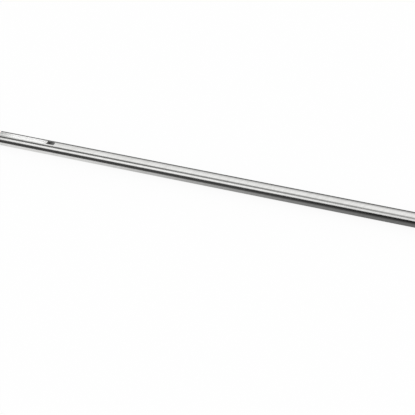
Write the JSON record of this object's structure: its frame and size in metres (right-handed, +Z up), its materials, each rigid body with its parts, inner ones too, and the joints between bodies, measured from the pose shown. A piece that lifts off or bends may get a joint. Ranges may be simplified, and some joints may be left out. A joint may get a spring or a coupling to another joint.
{
  "type": "fan shaft",
  "caption": "Long round ground steel shaft with chamfered ends and an open keyway at one end, to carry and drive a fan wheel.",
  "frame": {"origin": "on the shaft's turning axis, midway between its two end faces", "axes": "+X runs along the shaft from the keyed end to the plain end, and +Z points up, the way the keyway opens, as the shaft lies on a floor"},
  "size_m": [0.6096, 0.0158, 0.0158],
  "materials": {
    "ground_steel": "centreless ground and polished round bar, with a milled keyway and turned end faces"
  },
  "bodies": {
    "root": {"fan_shaft": "ground_steel"}
  },
  "joints": []
}
